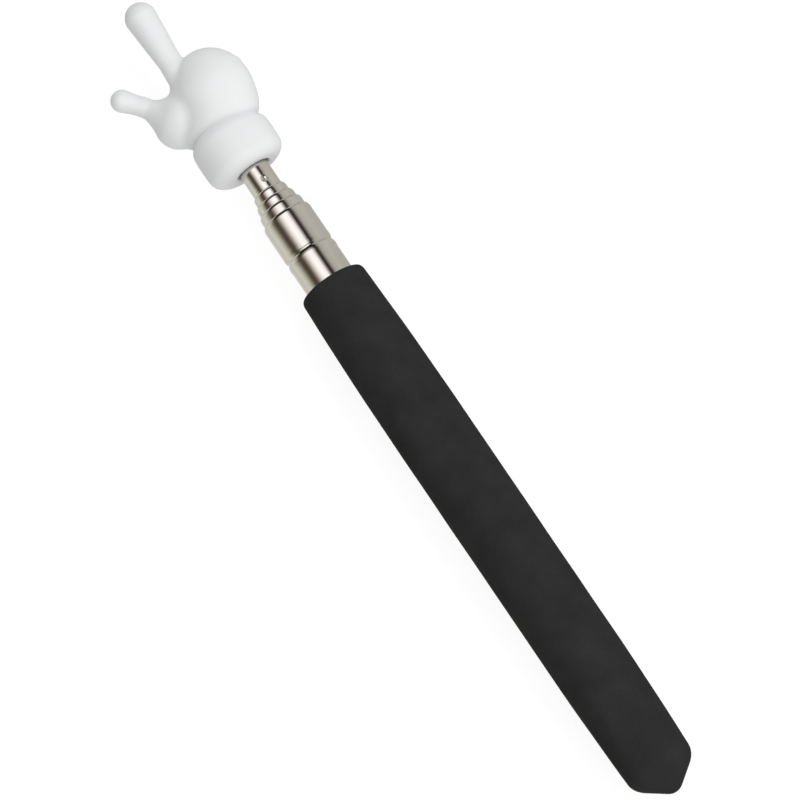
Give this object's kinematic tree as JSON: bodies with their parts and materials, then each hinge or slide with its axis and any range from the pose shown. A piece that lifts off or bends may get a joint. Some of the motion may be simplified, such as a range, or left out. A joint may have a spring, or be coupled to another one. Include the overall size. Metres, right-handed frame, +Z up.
{
  "type": "telescoping hand pointer",
  "caption": "Telescoping pointer: chrome tubes that slide out of one another from a black foam grip, with a white moulded pointing hand on the tip.",
  "frame": {"origin": "on the axis of the tubes, at the middle of the grip", "axes": "+X along the tubes towards the pointing finger, +Z up out of the back of the hand, +Y towards the thumb"},
  "size_m": [0.2173, 0.0298, 0.017],
  "materials": {
    "foam": "soft matte closed-cell foam",
    "chrome_tube": "bright chrome plate",
    "black_plastic": "moulded",
    "brass": "turned",
    "spring_bronze": "rolled strip",
    "steel_stem": "turned",
    "white_plastic": "satin moulded plastic"
  },
  "bodies": {
    "handle": {"grip_sleeve": "foam", "outer_tube": "chrome_tube", "end_plug": "black_plastic"},
    "leaves_1": {"friction_leaf_1a": "spring_bronze", "friction_leaf_1b": "spring_bronze"},
    "section_1": {"section_1": "chrome_tube", "foot_1": "brass"},
    "leaves_2": {"friction_leaf_2a": "spring_bronze", "friction_leaf_2b": "spring_bronze"},
    "section_2": {"section_2": "chrome_tube", "foot_2": "brass"},
    "leaves_3": {"friction_leaf_3a": "spring_bronze", "friction_leaf_3b": "spring_bronze"},
    "section_3": {"section_3": "chrome_tube", "foot_3": "brass"},
    "leaves_4": {"friction_leaf_4a": "spring_bronze", "friction_leaf_4b": "spring_bronze"},
    "section_4": {"section_4": "chrome_tube", "foot_4": "brass", "hand_stem": "steel_stem", "hand": "white_plastic"}
  },
  "joints": [
    {"name": "slide_1", "type": "slide", "parent": "handle", "child": "leaves_1", "axis": [1, 0, 0], "range_m": [0, 0.1245]},
    {"name": "twist_1", "type": "hinge", "parent": "leaves_1", "child": "section_1", "pos_m": [-0.0479, 0, 0], "axis": [1, 0, 0], "continuous": true},
    {"name": "slide_2", "type": "slide", "parent": "section_1", "child": "leaves_2", "axis": [1, 0, 0], "range_m": [0, 0.128]},
    {"name": "twist_2", "type": "hinge", "parent": "leaves_2", "child": "section_2", "pos_m": [-0.0398, 0, 0], "axis": [1, 0, 0], "continuous": true},
    {"name": "slide_3", "type": "slide", "parent": "section_2", "child": "leaves_3", "axis": [1, 0, 0], "range_m": [0, 0.1225]},
    {"name": "twist_3", "type": "hinge", "parent": "leaves_3", "child": "section_3", "pos_m": [-0.0317, 0, 0], "axis": [1, 0, 0], "continuous": true},
    {"name": "slide_4", "type": "slide", "parent": "section_3", "child": "leaves_4", "axis": [1, 0, 0], "range_m": [0, 0.1165]},
    {"name": "twist_4", "type": "hinge", "parent": "leaves_4", "child": "section_4", "pos_m": [-0.0236, 0, 0], "axis": [1, 0, 0], "continuous": true}
  ]
}
